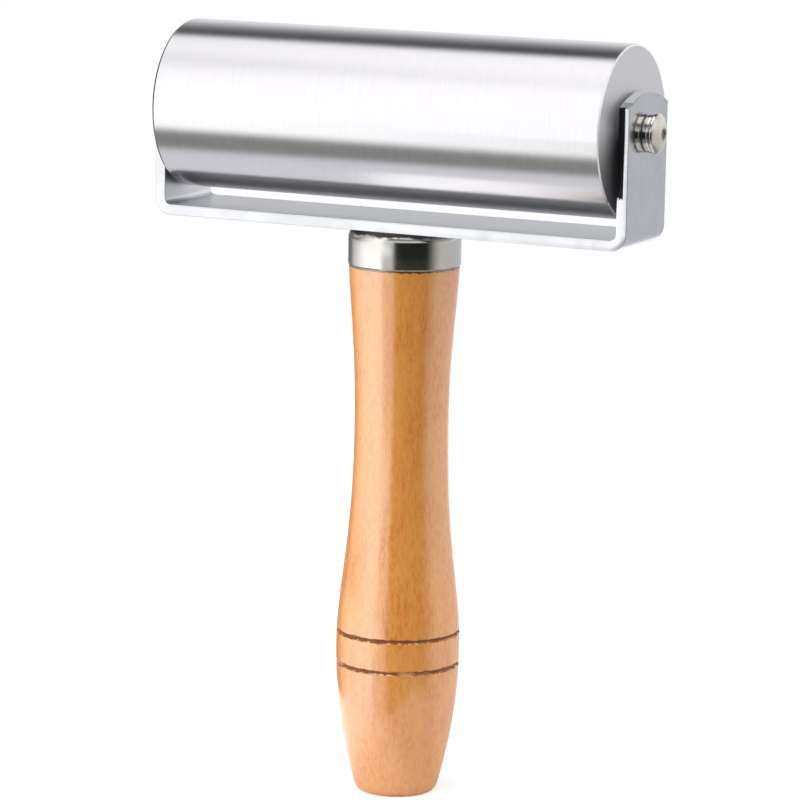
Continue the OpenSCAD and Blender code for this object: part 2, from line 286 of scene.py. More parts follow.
class Wire:
    """One socket's value in a node tree, so that shader sums read as sums."""

    def __init__(self, nodes, socket):
        self.nodes = nodes
        self.socket = socket

    def math(self, operation, *others):
        """A maths node that takes this value first."""
        values = dict(enumerate((self,) + others))
        return self.nodes.add("ShaderNodeMath", {"operation": operation}, values)

    def after(self, operation, other):
        """A maths node that takes this value second."""
        return self.nodes.add("ShaderNodeMath", {"operation": operation}, {0: other, 1: self})

    def __add__(self, other):
        return self.math("ADD", other)

    def __sub__(self, other):
        return self.math("SUBTRACT", other)

    def __mul__(self, other):
        return self.math("MULTIPLY", other)

    def __truediv__(self, other):
        return self.math("DIVIDE", other)

    def __pow__(self, other):
        return self.math("POWER", other)

    def __radd__(self, other):
        return self.after("ADD", other)

    def __rsub__(self, other):
        return self.after("SUBTRACT", other)

    def __rmul__(self, other):
        return self.after("MULTIPLY", other)

    def __neg__(self):
        return self.after("SUBTRACT", 0)

    def __abs__(self):
        return self.math("ABSOLUTE")

    def rise(self, low, high):
        """0 below low, 1 above high and an S curve between them."""
        settings = {"interpolation_type": "SMOOTHSTEP"}
        return self.nodes.add("ShaderNodeMapRange", settings, {0: self, 1: low, 2: high})

    def band(self, low, high, soft):
        """1 between low and high, with soft edges."""
        return self.rise(low - soft, low + soft) - self.rise(high - soft, high + soft)


class Nodes:
    """A node tree that is filled by add()."""

    def __init__(self, tree):
        self.tree = tree
        tree.nodes.clear()

    def add(self, kind, settings=None, inputs=None, out=0):
        """Adds a node, sets it up, feeds its sockets and returns one of its outputs."""
        node = self.tree.nodes.new(kind)
        for name, value in (settings or {}).items():
            if name == "stops":
                self.set_stops(node.color_ramp, value)
            else:
                setattr(node, name, value)
        for socket, value in (inputs or {}).items():
            if isinstance(value, Wire):
                self.tree.links.new(value.socket, node.inputs[socket])
            else:
                node.inputs[socket].default_value = value
        return Wire(self, node.outputs[out]) if len(node.outputs) else node

    def set_stops(self, ramp, stops):
        """Fills a colour ramp with pairs of place and colour."""
        for spare in stops[2:]:
            ramp.elements.new(spare[0])
        for element, (place, colour) in zip(ramp.elements, stops):
            element.position = place
            element.color = (*colour, 1)

    def mix(self, share, first, second):
        """Blends two colours."""
        inputs = {0: share, 6: opaque(first), 7: opaque(second)}
        return self.add("ShaderNodeMix", {"data_type": "RGBA"}, inputs, out=2)

    def place(self):
        """The surface point in the object's own frame."""
        return self.add("ShaderNodeTexCoord", out="Object")

    def split(self, vector):
        """A vector's x, y and z."""
        node = self.add("ShaderNodeSeparateXYZ", {}, {0: vector}).socket.node
        return [Wire(self, socket) for socket in node.outputs]

    def join(self, x, y, z):
        """A vector from its x, y and z."""
        return self.add("ShaderNodeCombineXYZ", {}, {0: x, 1: y, 2: z})

    def stretch(self, vector, factors):
        """A vector times one factor along each axis."""
        return self.add("ShaderNodeVectorMath", {"operation": "MULTIPLY"}, {0: vector, 1: factors})

    def noise(self, vector, scale=1.0, detail=2.0, roughness=0.5, distortion=0.0):
        """Soft noise about 0.5."""
        inputs = {
            "Vector": vector, "Scale": scale, "Detail": detail,
            "Roughness": roughness, "Distortion": distortion,
        }
        return self.add("ShaderNodeTexNoise", {}, inputs)

    def bump(self, height, distance, strength):
        """The normal of a surface with fine relief."""
        inputs = {"Height": height, "Distance": distance, "Strength": strength}
        return self.add("ShaderNodeBump", {}, inputs)


def opaque(colour):
    """A colour with its alpha, or a wire as it is."""
    return colour if isinstance(colour, Wire) else (*colour, 1)


def new_finish(name):
    """A new material and its empty node tree."""
    material = bpy.data.materials.new(name)
    material.use_nodes = True
    return material, Nodes(material.node_tree)


def close_finish(nodes, inputs):
    """Ends a finish with its shader."""
    shader = nodes.add("ShaderNodeBsdfPrincipled", {}, inputs)
    nodes.add("ShaderNodeOutputMaterial", {}, {"Surface": shader})


def ground_steel_finish():
    """Ground steel: fine lines round the roller, turned rings, painted shade on the lower front of its end
    faces and painted reflections on its rims.
    """
    material, nodes = new_finish("ground_steel")
    place = nodes.place()
    x, y, z = nodes.split(place)
    on_end = abs(x).rise(ROLLER_HALF - 0.04 * MM, ROLLER_HALF - 0.01 * MM)
    ground = nodes.noise(nodes.stretch(place, GROUND_LINES), detail=3, roughness=0.65)
    chatter = nodes.noise(nodes.stretch(place, GROUND_CHATTER), detail=2, roughness=0.6)
    outward = nodes.join(from_axle(nodes, place) * TURNED_RINGS, 0, 0)
    rings = nodes.noise(outward, detail=3, roughness=0.7)
    lines = ground + on_end * (rings - ground)
    smear = nodes.noise(nodes.stretch(place, STEEL_SMEARS), detail=3, distortion=0.6)
    base = nodes.mix(lines, GROUND_DARK, GROUND_LIGHT)
    turned = nodes.mix(lines, TURNED_DARK, TURNED_LIGHT)
    # Painted shade: the end faces darken towards their lower front, beside the arms
    round_axle = (AXLE_Z - z).math("ARCTAN2", -y)
    shaded_end = (round_axle - END_SHADE_AT).math("COSINE").rise(0.55, 1)
    base = nodes.mix(on_end, base, nodes.mix(shaded_end * END_SHADE_SHARE, turned, END_SHADE))
    # Painted reflections on the rim chamfers: dark on the left rim, a bright highlight on the right rim
    at_right = x.rise(-MM, MM)
    rim_x = ROLLER_HALF - ROLLER_CHAMFER - RIM_SLANT * (1 - at_right)
    on_rim = (abs(x) - rim_x).rise(0, 0.04 * MM) - on_end
    base = nodes.mix(on_rim, base, nodes.mix(at_right, LEFT_RIM_SHADE, RIGHT_RIM_HIGHLIGHT))
    close_finish(nodes, {
        "Base Color": base,
        "Metallic": 1 - on_end * 0.4,
        "Roughness": 0.175 + on_end * 0.3 + (lines - 0.5) * 0.1 + (smear - 0.5) * 0.06,
        "Normal": nodes.bump(lines * 0.4 + chatter * (1 - on_end), 0.006 * MM, 0.5),
    })
    return material


def plated_finish(name, tint, gloss, haze, peel, dull, stain_and_shade=None, painted_light=None):
    """Bright plate over polished metal: faint polishing lines, haze, orange peel and tiny pits.

    The three functions, in order, say where the plate is satin, where it carries tarnish, painted shade or
    a painted dark reflection, and where painted light makes it lighter.
    """
    material, nodes = new_finish(name)
    place = nodes.place()
    polish = nodes.noise(nodes.stretch(place, POLISH_LINES), detail=2, roughness=0.6)
    cloud = nodes.noise(place, scale=PLATE_CLOUDS, detail=4, roughness=0.6, distortion=0.4)
    grit = nodes.noise(place, scale=PLATE_GRIT, detail=2, roughness=0.7)
    pits = grit.rise(0.70, 0.78)
    shade = tuple(part * 0.9 for part in tint)
    satin = dull(nodes, place)
    calm = 1 - satin * 0.8
    base = nodes.mix(cloud.rise(0.3, 0.75) * calm, tint, shade)
    roughness = gloss + (cloud.rise(0.35, 0.8) * haze + (polish - 0.5) * 0.03 + pits * 0.1) * calm
    roughness = roughness + satin * 0.18
    # Painted light: the plate is lighter where the function says
    if painted_light:
        lit = painted_light(nodes, place)
        base = nodes.mix(lit, base, PAINTED_LIGHT_PLATE)
        roughness = roughness + lit * 0.3
    # Tarnish, painted shade and painted dark reflections, where the function gives them
    if stain_and_shade:
        share, colour = stain_and_shade(nodes, place, grit)
        base = nodes.mix(share, base, colour)
        roughness = roughness + share * 0.3
    close_finish(nodes, {
        "Base Color": base,
        "Metallic": 1 - satin * 0.35,
        "Roughness": roughness,
        "Normal": nodes.bump((polish * 0.4 + grit * peel - pits * 0.4) * calm, 0.003 * MM, 0.4),
    })
    return material


def strap_zones(nodes, place):
    """How far a point of the strap is above the bar's metal, and past the start of a bend."""
    x, _, z = nodes.split(place)
    above_bar = z.rise(STRAP_Z + STRAP_T * 0.8, STRAP_Z + STRAP_T * 0.95)
    at_bend = STRAP_HALF - STRAP_T - BEND_R
    return above_bar, abs(x).rise(at_bend, at_bend + BEND_R / 2)


def strap_inside(nodes, place):
    """The bar's inner face, which the polishing wheel hardly reached."""
    above_bar, past_bend = strap_zones(nodes, place)
    return above_bar * (1 - past_bend)


def arm_inside(nodes, place):
    """The arms' inner faces and the edges of their crowns, where the plate is painted lighter as painted
    light.
    """
    x, _, z = nodes.split(place)
    above_bar, past_bend = strap_zones(nodes, place)
    outer = abs(x).rise(STRAP_HALF - STRAP_T * 0.95, STRAP_HALF - STRAP_T * 0.8)
    face = abs(x).rise(STRAP_HALF - 0.2 * MM, STRAP_HALF - 0.1 * MM)
    crown_z = ARM_TOP_Z - CROWN_EDGE_H
    on_crown = z.rise(crown_z - 0.15 * MM, crown_z)
    return above_bar * (past_bend - outer) + on_crown * (outer - face)


def edge_dark_reflection(nodes, place, grit):
    """A painted dark reflection along the inner half of the right arm's edges, up from the bend."""
    x, y, z = nodes.split(place)
    edge_y = STRAP_W / 2 - INNER_TAPER - EDGE_REFLECTION_DEPTH
    on_edge = abs(y).rise(edge_y, edge_y + 0.1 * MM)
    outer_x = STRAP_HALF - STRAP_T * OUTER_SHARE
    inner_half = 1 - abs(x).rise(outer_x - 0.02 * MM, outer_x + 0.04 * MM)
    start_z = STRAP_Z + EDGE_REFLECTION_START
    above = (z + (grit - 0.5) * EDGE_REFLECTION_RAGGED).rise(start_z, start_z + 0.3 * MM)
    at_right = x.rise(0, STRAP_T)
    return on_edge * inner_half * above * at_right * EDGE_REFLECTION_SHARE, EDGE_DARK_REFLECTION


def ferrule_wear(nodes, place):
    """A little handling haze towards the ferrule's lip."""
    height = nodes.split(place)[Z]
    return 0.12 - 0.12 * height.rise(FERRULE_LOW_Z, FERRULE_LOW_Z + 4 * MM)


def from_axle(nodes, place):
    """Distance from the roller's axis."""
    _, y, z = nodes.split(place)
    return (y * y + (z - AXLE_Z) ** 2) ** 0.5


def head_face(nodes, place):
    """The screw's domed face, which is satin beside its polished rim."""
    return 1 - from_axle(nodes, place).rise(FACE_R - 0.2 * MM, FACE_R)


def recess_tarnish(nodes, place, grit):
    """Tan tarnish in the round recess of a screw's head, thinning out on the face about it."""
    away = from_axle(nodes, place) + (grit - 0.5) * 0.5 * MM
    share = 1 - away.rise(RECESS_R * 0.9, RECESS_R * 1.7)
    return share * TARNISH_SHARE, TARNISH


def ferrule_shade(nodes, place, grit):
    """Painted shade: a dark band on the ferrule under the strap and a dark line along its lip."""
    height = nodes.split(place)[Z]
    blotch = nodes.noise(nodes.stretch(place, SHADE_BLOTCHES), detail=3, roughness=0.65)
    ragged = (grit - 0.5) * 0.9 * MM + (blotch - 0.5) * 1.6 * MM
    under_strap = (height + ragged).rise(FERRULE_TOP_Z - 1.1 * MM, FERRULE_TOP_Z - 0.65 * MM)
    along_lip = 1 - (height + ragged * 0.4).rise(FERRULE_LOW_Z + 0.05 * MM, FERRULE_LOW_Z + 0.28 * MM)
    return under_strap * 0.92 + along_lip * 0.9, FERRULE_SHADE


def machined_finish(name, tint, roughness):
    """Plain machined metal for the pieces inside: fine tool lines and oil haze."""
    material, nodes = new_finish(name)
    place = nodes.place()
    lines = nodes.noise(nodes.stretch(place, TOOL_LINES), detail=2, roughness=0.6)
    film = nodes.noise(place, scale=OIL_FILM, detail=3, distortion=0.5)
    shade = tuple(part * 0.82 for part in tint)
    base = nodes.mix(film.rise(0.35, 0.75), tint, shade)
    close_finish(nodes, {
        "Base Color": base,
        "Metallic": 1.0,
        "Roughness": roughness + (lines - 0.5) * 0.1 + (film - 0.5) * 0.1,
        "Normal": nodes.bump(lines, 0.004 * MM, 0.3),
    })
    return material


def varnished_wood_finish():
    """Honey-coloured wood under gloss varnish, with burnt turned grooves."""
    material, nodes = new_finish("varnished_wood")
    place = nodes.place()
    x, _, height = nodes.split(place)
    wave = nodes.noise(nodes.stretch(place, WOOD_WAVES), detail=2)
    sway = nodes.join(wave * SWAY, 0, 0)
    swayed = nodes.add("ShaderNodeVectorMath", {"operation": "ADD"}, {0: place, 1: sway})
    fibre = nodes.noise(nodes.stretch(swayed, WOOD_FIBRES), detail=3, roughness=0.65)
    strand = nodes.noise(nodes.stretch(swayed, WOOD_STRANDS), detail=3, roughness=0.6)
    figure = nodes.noise(nodes.stretch(place, WOOD_FIGURE), detail=4, roughness=0.6, distortion=0.6)
    pores = nodes.noise(nodes.stretch(swayed, WOOD_PORES), detail=1).rise(0.60, 0.72)
    tone = fibre.rise(0.34, 0.66) * 0.5 + strand.rise(0.35, 0.65) * 0.2 + figure.rise(0.3, 0.7) * 0.3
    wood = nodes.add("ShaderNodeValToRGB", {"stops": WOOD_TONES}, {0: tone})
    wood = nodes.mix(pores * PORE_SHARE, wood, PORE)
    ragged = nodes.noise(place, scale=LIP_RAGS, detail=3, roughness=0.7) - 0.5
    char = nodes.noise(nodes.stretch(place, GROOVE_CHAR), detail=3, roughness=0.6)
    # Painted light: the char is paler on the handle's left side, where light falls
    lit_left_side = (-x).rise(BELLY_R * 0.45, BELLY_R * 0.95) * 0.16
    # Painted shade on the wood just under the ferrule's lip
    under_lip = (height + ragged * 0.8 * MM).rise(FERRULE_LOW_Z - 0.5 * MM, FERRULE_LOW_Z - 0.25 * MM)
    wood = nodes.mix(under_lip * 0.9, wood, LIP_SHADE)
    skin = nodes.noise(place, scale=WOOD_SKIN, detail=2, roughness=0.6)
    relief = fibre.rise(0.34, 0.66) * 0.2 + strand * 0.5 + skin * 0.2
    varnished = nodes.add("ShaderNodeBsdfPrincipled", {}, {
        "Base Color": wood,
        "Roughness": 0.17 + (fibre - 0.5) * 0.14,
        "Normal": nodes.bump(relief, 0.03 * MM, 0.4),
        "IOR": VARNISH_IOR,
        "Coat Weight": 0.25,
        "Coat Roughness": 0.08,
        "Coat IOR": 1.5,
    })
    charred = nodes.add("ShaderNodeBsdfPrincipled", {}, {
        "Base Color": nodes.mix((char + lit_left_side).rise(0.55, 0.68), BURNT, BURNT_THIN),
        "Roughness": 0.62 + ragged * 0.3,
        "Normal": nodes.bump(ragged + fibre, 0.06 * MM, 0.8),
        "IOR": 1.4,
    })
    torn = (nodes.noise(place, scale=GROOVE_TEARS, detail=4, roughness=0.75) - 0.5) * 1.8 * MM
    burnt = 0
    for groove_z in GROOVES_Z:
        ring = 1 - (abs(height - groove_z) + torn).rise(GROOVE_W * 0.30, GROOVE_W * 0.56)
        burnt = ring + burnt
    surface = nodes.add("ShaderNodeMixShader", {}, {0: burnt, 1: varnished, 2: charred})
    nodes.add("ShaderNodeOutputMaterial", {}, {"Surface": surface})
    return material


def add_start(kind, name, location=ORIGIN, rotation=ORIGIN, **sizes):
    """Adds a primitive alone in the selection, with its place in its mesh."""
    bpy.ops.object.select_all(action="DESELECT")
    make = getattr(bpy.ops.mesh, f"primitive_{kind}_add")
    make(location=location, rotation=rotation, **sizes)
    piece = bpy.context.object
    piece.name = name
    bpy.ops.object.transform_apply(location=True, rotation=True, scale=True)
    bpy.ops.object.mode_set(mode="EDIT")
    bpy.ops.mesh.select_mode(type="VERT")
    return piece


def pick(piece, mode, test):
    """Selects only the vertices, edges or faces whose middle passes a test."""
    bpy.ops.mesh.select_mode(type=mode)
    bpy.ops.mesh.select_all(action="DESELECT")
    shape = bmesh.from_edit_mesh(piece.data)
    parts = {"VERT": shape.verts, "EDGE": shape.edges, "FACE": shape.faces}[mode]
    for part in parts:
        corners = [part] if mode == "VERT" else part.verts
        middle = sum((corner.co for corner in corners), Vector()) / len(corners)
        part.select_set(test(middle))
    shape.select_flush_mode()
    bmesh.update_edit_mesh(piece.data)


def extrude_by(offset):
    """Extrudes what is selected."""
    bpy.ops.mesh.extrude_region_move(TRANSFORM_OT_translate={"value": offset})


def close_mesh(smooth_angle):
    """Merges doubles, points the faces outwards and leaves edit mode."""
    bpy.ops.mesh.select_all(action="SELECT")
    bpy.ops.mesh.remove_doubles(threshold=MERGE)
    bpy.ops.mesh.normals_make_consistent(inside=False)
    bpy.ops.object.mode_set(mode="OBJECT")
    bpy.ops.object.shade_smooth_by_angle(angle=smooth_angle)


def apply_modifier(piece, kind, **settings):
    """Adds a modifier to the active piece and applies it."""
    modifier = piece.modifiers.new(kind.lower(), kind)
    for name, value in settings.items():
        setattr(modifier, name, value)
    bpy.ops.object.modifier_apply(modifier=modifier.name)


def turn(name, outline, centre, axis):
    """Turns an outline of points about an axis, as on a lathe."""
    piece = add_start("plane", name, location=outline[0], size=MM)
    bpy.ops.mesh.select_all(action="SELECT")
    bpy.ops.mesh.merge(type="CENTER")
    for before, after in zip(outline, outline[1:]):
        extrude_by(after - before)
    bpy.ops.mesh.select_all(action="SELECT")
    bpy.ops.mesh.spin(steps=ROUND_STEPS, angle=2 * math.pi, center=centre, axis=axis)
    close_mesh(SMOOTH)
    return piece


def place_piece(piece, material, body, node):
    """Gives a finished piece its finish, the body it moves with and the node it stands for."""
    piece.data.materials.clear()
    piece.data.materials.append(material)
    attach(piece, body)
    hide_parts(node)


def curve_points(start, pull_1, pull_2, end, count):
    """Points along a cubic curve, without its last one."""
    points = []
    for step in range(count):
        t = step / count
        u = 1 - t
        points.append(start * u ** 3 + pull_1 * 3 * u * u * t + pull_2 * 3 * u * t * t + end * t ** 3)
    return points


def bow_points(start, pull, end, count):
    """Points along a curve with one pull point, without its last one."""
    third = 2 / 3
    return curve_points(start, start.lerp(pull, third), end.lerp(pull, third), end, count)


def arc_points(centre, radius, first, last, count):
    """Points along an arc in an outline, angles in degrees."""
    points = []
    for step in range(count + 1):
        angle = (first + (last - first) * step / count) * DEGREE
        across = centre[0] + radius * math.cos(angle)
        points.append(Vector((across, centre[1] + radius * math.sin(angle))))
    return points


def upright(points):
    """Outline points of radius and height, in the plane of the handle's axis."""
    return [Vector((point[0], 0, point[1])) for point in points]


def handle_side():
    """The handle's outline from its butt to its neck, as radius and height."""
    neck = Vector((NECK_R, FERRULE_LOW_Z))
    slope = 2 * (BELLY[0] - BUTT_EDGE[0]) / (BELLY[1] - BUTT_EDGE[1])
    corner = Vector((BUTT_EDGE[0] - slope * BUTT_EDGE[1], 0))
    swell = WAIST[1] - BELLY[1]
    reach = neck[1] - WAIST[1]
    up = Vector((0, 1))
    below_belly = Vector((BELLY[0], (BELLY[1] + BUTT_EDGE[1]) / 2))
    above_belly = BELLY + up * swell * BELLY_PULL
    below_waist = WAIST - up * swell * WAIST_PULL_DOWN
    above_waist = WAIST + up * reach * WAIST_PULL_UP
    below_neck = neck - reach * NECK_PULL * Vector((NECK_FLARE, 1))
    side = bow_points(BUTT_FLAT, corner, BUTT_EDGE, 8)
    side += bow_points(BUTT_EDGE, below_belly, BELLY, 28)
    side += curve_points(BELLY, above_belly, below_waist, WAIST, 30)
    side += curve_points(WAIST, above_waist, below_neck, neck, 20)
    return side + [neck]


def radius_at(side, height):
    """The outline's radius at a height."""
    for low, high in zip(side, side[1:]):
        if low[1] <= height <= high[1]:
            share = (height - low[1]) / (high[1] - low[1])
            return low[0] + (high[0] - low[0]) * share
    return side[-1][0]


def with_grooves(side):
    """The outline with a rounded hollow turned in at each groove."""
    half = GROOVE_W / 2
    clear = half * 1.3
    kept = [point for point in side if all(abs(point[1] - groove) > clear for groove in GROOVES_Z)]
    for groove in GROOVES_Z:
        for step in range(GROOVE_STEPS + 1):
            share = 2 * step / GROOVE_STEPS - 1
            height = groove + share * half
            depth = GROOVE_DEPTH * math.cos(share * QUARTER) ** GROOVE_ROUND if abs(share) < 1 else 0
            kept.append(Vector((radius_at(side, height) - depth, height)))
    return sorted(kept, key=lambda point: point[1])


def make_handle(material):
    """The turned handle, with its tenon inside the ferrule and the blind bore for the tang."""
    outline = [Vector((0, 0)), Vector((BUTT_FLAT[0] * 0.5, 0))]
    outline += with_grooves(handle_side())
    outline += [
        Vector((TENON_R, FERRULE_LOW_Z)),
        Vector((TENON_R, TENON_TOP_Z - TENON_CHAMFER)),
        Vector((TENON_R - TENON_CHAMFER, TENON_TOP_Z)),
        Vector((TANG_BORE_R, TENON_TOP_Z)),
        Vector((TANG_BORE_R, TANG_BORE_Z)),
        Vector((0, TANG_BORE_Z)),
    ]
    piece = turn("wooden_handle", upright(outline), ORIGIN, (0, 0, 1))
    # Kept out of mirrors, like the ferrule, so that the plate shows the plain studio
    piece.visible_glossy = False
    place_piece(piece, material, "frame", "handle")


def make_ferrule(material):
    """The drawn cap on the handle, with a rounded shoulder, a rolled lip and the tang's hole."""
    inner_r = FERRULE_R - FERRULE_T
    top_inner_z = FERRULE_TOP_Z - FERRULE_T
    corner = (FERRULE_R - FERRULE_CORNER_R, FERRULE_TOP_Z - FERRULE_CORNER_R)
    lip = (FERRULE_R - FERRULE_LIP_R, FERRULE_LOW_Z + FERRULE_LIP_R)
    outline = [Vector((FLANGE_HOLE_R, top_inner_z)), Vector((FLANGE_HOLE_R, FERRULE_TOP_Z))]
    outline += arc_points(corner, FERRULE_CORNER_R, 90, 0, 12)
    outline += arc_points(lip, FERRULE_LIP_R, 0, -90, 5)
    outline += [Vector((inner_r, FERRULE_LOW_Z))]
    outline += arc_points(corner, FERRULE_CORNER_R - FERRULE_T, 0, 90, 8)
    outline += [outline[0].copy()]
    piece = turn("drawn_ferrule", upright(outline), ORIGIN, (0, 0, 1))
    piece.visible_glossy = False
    place_piece(piece, material, "frame", "ferrule")


def make_roller(material):
    """The bored roller, with bearing seats at its ends and its two rims broken differently."""
    roller = add_start(
        "cylinder", "steel_roller", location=AXLE_POINT, rotation=(0, QUARTER, 0),
        vertices=ROUND_STEPS, radius=ROLLER_R, depth=2 * ROLLER_HALF,
    )
    at_end = ROLLER_HALF - NEAR
    pick(roller, "EDGE", lambda middle: abs(middle[X]) > at_end)
    bpy.ops.mesh.bevel(offset=ROLLER_CHAMFER, segments=1, affect="EDGES")
    pick(roller, "FACE", lambda middle: abs(middle[X]) > at_end)
    bpy.ops.mesh.inset(thickness=ROLLER_R - ROLLER_CHAMFER - SEAT_R)
    bpy.ops.mesh.extrude_region_shrink_fatten(TRANSFORM_OT_shrink_fatten={"value": -SEAT_DEPTH})
    bpy.ops.mesh.inset(thickness=SEAT_R - ROLLER_BORE_R)
    bpy.ops.mesh.bridge_edge_loops()
    pick(roller, "VERT", lambda point: point[X] > at_end)
    rim_r = ROLLER_R - ROLLER_CHAMFER
    slant = (rim_r - RIM_SLANT) / rim_r
    bpy.ops.transform.resize(value=(1, slant, slant), center_override=AXLE_POINT)
    before_rim = ROLLER_CHAMFER + NEAR - ROLLER_HALF
    near_shell = ROLLER_R - NEAR
    pick(
        roller, "VERT",
        lambda point: point[X] < before_rim and math.hypot(point[Y], point[Z] - AXLE_Z) > near_shell,
    )
    bpy.ops.transform.translate(value=(RIM_SLANT, 0, 0))
    close_mesh(ROLLER_SMOOTH)
    place_piece(roller, material, "roller", "roller_shell")


def drill(piece, location, rotation, radius, depth):
    """Cuts a round hole, centred on a point, through or into a piece."""
    cutter = add_start(
        "cylinder", "drill", location=location, rotation=rotation,
        vertices=DRILL_STEPS, radius=radius, depth=depth,
    )
    bpy.ops.object.mode_set(mode="OBJECT")
    bpy.ops.object.select_all(action="DESELECT")
    piece.select_set(True)
    bpy.context.view_layer.objects.active = piece
    apply_modifier(piece, "BOOLEAN", object=cutter, operation="DIFFERENCE", solver="EXACT")
    bpy.data.objects.remove(cutter)


def make_yoke(material):
    """The strap: its outer face bent and crowned, thickened inwards, drilled and broken at its edges."""
    bend_out_r = BEND_R + STRAP_T
    bend_z = STRAP_Z + bend_out_r
    arm_h = ARM_TOP_Z - bend_z
    arm_z = bend_z + arm_h / 2
    yoke = add_start("plane", "strap_yoke", size=1)
    bpy.ops.mesh.select_all(action="SELECT")
    bpy.ops.transform.resize(value=(arm_h, STRAP_W - 2 * OUTER_TAPER, 1))
    bpy.ops.transform.rotate(value=QUARTER, orient_axis="Y", center_override=ORIGIN)
    bpy.ops.transform.translate(value=(-STRAP_HALF, 0, arm_z))
    pick(yoke, "EDGE", lambda middle: middle[Z] < bend_z + NEAR)
    bend_x = STRAP_HALF - bend_out_r
    bpy.ops.mesh.spin(steps=BEND_STEPS, angle=QUARTER, center=(-bend_x, 0, bend_z), axis=(0, 1, 0))
    extrude_by((2 * bend_x, 0, 0))
    bpy.ops.mesh.spin(steps=BEND_STEPS, angle=QUARTER, center=(bend_x, 0, bend_z), axis=(0, 1, 0))
    extrude_by((0, 0, arm_h))
    half_angle = math.asin(STRAP_W / 2 / ARM_CROWN_R)
    crown_centre = Vector((0, 0, ARM_TOP_Z - ARM_CROWN_R))
    for cut in range(CROWN_CUTS + 1):
        lean = half_angle * (2 * cut / CROWN_CUTS - 1)
        outward = Vector((0, math.sin(lean), math.cos(lean)))
        bpy.ops.mesh.select_all(action="SELECT")
        bpy.ops.mesh.bisect(
            plane_co=crown_centre + outward * ARM_CROWN_R, plane_no=outward, clear_outer=True,
        )
    bpy.ops.mesh.select_all(action="SELECT")
    bpy.ops.mesh.remove_doubles(threshold=MERGE)
    bpy.ops.mesh.normals_make_consistent(inside=False)
    full_half = STRAP_W / 2
    layers = (
        (OUTER_SHARE, full_half / (full_half - OUTER_TAPER)),
        (1 - OUTER_SHARE, (full_half - INNER_TAPER) / full_half),
    )
    for share, spread in layers:
        bpy.ops.mesh.extrude_region_shrink_fatten(
            TRANSFORM_OT_shrink_fatten={"value": -STRAP_T * share, "use_even_offset": True},
        )
        bpy.ops.transform.resize(value=(1, spread, 1), center_override=ORIGIN)
    close_mesh(STRAP_SMOOTH)
    across = (0, QUARTER, 0)
    for side in (-1, 1):
        arm_middle = side * (STRAP_HALF - STRAP_T / 2)
        drill(yoke, (arm_middle, 0, AXLE_Z), across, SCREW_HOLE_R, 2 * STRAP_T)
    drill(yoke, (0, 0, STRAP_Z), ORIGIN, SPIGOT_R, 2 * SPIGOT_DEPTH)
    apply_modifier(
        yoke, "BEVEL", width=STRAP_EDGE, segments=3, limit_method="ANGLE", angle_limit=STRAP_SHARP,
    )
    bpy.ops.object.shade_smooth_by_angle(angle=SMOOTH)
    apply_modifier(yoke, "WEIGHTED_NORMAL", keep_sharp=True)
    place_piece(yoke, material, "frame", "yoke")


def along_axle(points):
    """Outline points of distance along the axle and radius, in the plane of the axle."""
    return [Vector((point[0], 0, AXLE_Z + point[1])) for point in points]


def copy_to_left(piece, name):
    """Copies a finished piece of the right side, with its own mesh, to the left side."""
    bpy.ops.object.select_all(action="DESELECT")
    piece.select_set(True)
    bpy.context.view_layer.objects.active = piece
    bpy.ops.object.duplicate(linked=False)
    twin = bpy.context.object
    twin.name = name
    bpy.ops.object.mode_set(mode="EDIT")
    bpy.ops.mesh.select_all(action="SELECT")
    bpy.ops.transform.resize(value=(-1, 1, 1), center_override=ORIGIN)
    bpy.ops.mesh.normals_make_consistent(inside=False)
    bpy.ops.object.mode_set(mode="OBJECT")
    return twin


def break_edges(piece, width):
    """Rounds a piece's sharp edges a little."""
    apply_modifier(
        piece, "BEVEL", width=width, segments=5, limit_method="ANGLE", angle_limit=SHARP,
    )
    bpy.ops.object.shade_smooth_by_angle(angle=SMOOTH)


def make_screws(material):
    """The domed screws, each with a round recess in its head."""
    dome_r = (HEAD_R ** 2 + HEAD_DOME_H ** 2) / (2 * HEAD_DOME_H)
    top_x = HEAD_X + HEAD_SIDE_H + HEAD_DOME_H
    recess_x = top_x - RECESS_DEPTH
    outline = [Vector((recess_x, 0)), Vector((recess_x, RECESS_R))]
    for step in range(DOME_STEPS + 1):
        radius = RECESS_R + (HEAD_R - RECESS_R) * step / DOME_STEPS
        outline.append(Vector((top_x - dome_r + math.sqrt(dome_r ** 2 - radius ** 2), radius)))
    outline += [
        Vector((HEAD_X, HEAD_R)),
        Vector((HEAD_X, SCREW_R)),
        Vector((SCREW_END_X, SCREW_R)),
        Vector((SCREW_END_X, 0)),
    ]
    right = turn("dome_screw_right", along_axle(outline), AXLE_POINT, (1, 0, 0))
    break_edges(right, HEAD_EDGE)
    left = copy_to_left(right, "dome_screw_left")
    place_piece(right, material, "frame", "axle_screw_right")
    place_piece(left, material, "frame", "axle_screw_left")


def make_washers(material):
    """The thick washers under the screw heads."""
    middle_x = HEAD_X - WASHER_T / 2
    right = add_start(
        "cylinder", "thick_washer_right", location=(middle_x, 0, AXLE_Z),
        rotation=(0, QUARTER, 0), vertices=ROUND_STEPS, radius=WASHER_R, depth=WASHER_T,
    )
    at_face = WASHER_T / 2 - NEAR
    pick(right, "FACE", lambda middle: abs(middle[X] - middle_x) > at_face)
    bpy.ops.mesh.inset(thickness=WASHER_R - SCREW_HOLE_R)
    bpy.ops.mesh.bridge_edge_loops()
    close_mesh(SMOOTH)
    break_edges(right, WASHER_EDGE)
    left = copy_to_left(right, "thick_washer_left")
    place_piece(right, material, "frame", "axle_washer_right")
    place_piece(left, material, "frame", "axle_washer_left")


def dress_nodes(material, *names):
    """Gives carried-over nodes a finish."""
    for name in names:
        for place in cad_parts[name].material_slots:
            place.material = material


